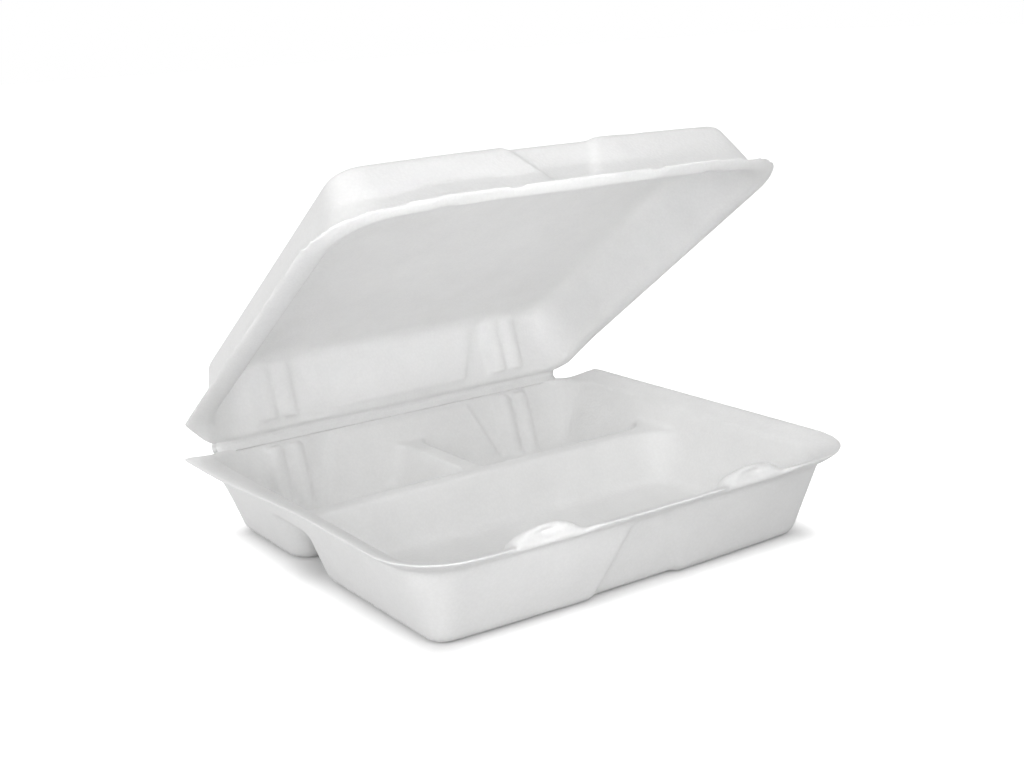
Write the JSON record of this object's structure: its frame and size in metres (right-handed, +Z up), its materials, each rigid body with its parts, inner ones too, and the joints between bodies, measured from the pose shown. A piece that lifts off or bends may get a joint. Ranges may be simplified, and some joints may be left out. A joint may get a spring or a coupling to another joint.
{
  "type": "hinged food container",
  "caption": "Square moulded foam takeaway box with a divided tray, sloping rim, press-in front latches and a deep lid that folds back on a hinge.",
  "frame": {"origin": "on the table plane under the middle of the tray, halfway between the lid's hinge line and the straight part of the front lip", "axes": "+X along the hinge to the right, +Y to the hinge at the back, +Z up from the table"},
  "size_m": [0.203, 0.1946, 0.1556],
  "materials": {
    "foam_tray": "white expanded polystyrene foam sheet, thermoformed, satin skin",
    "foam_lid": "white expanded polystyrene foam sheet, thermoformed, satin skin"
  },
  "bodies": {
    "tray": {"base_tray": "foam_tray"},
    "lid": {"lid": "foam_lid"}
  },
  "joints": [
    {"name": "lid_hinge", "type": "hinge", "parent": "tray", "child": "lid", "pos_m": [0, 0.0935, 0.0322], "axis": [-1, 0, 0], "range_deg": [-34.5, 145.5]}
  ]
}
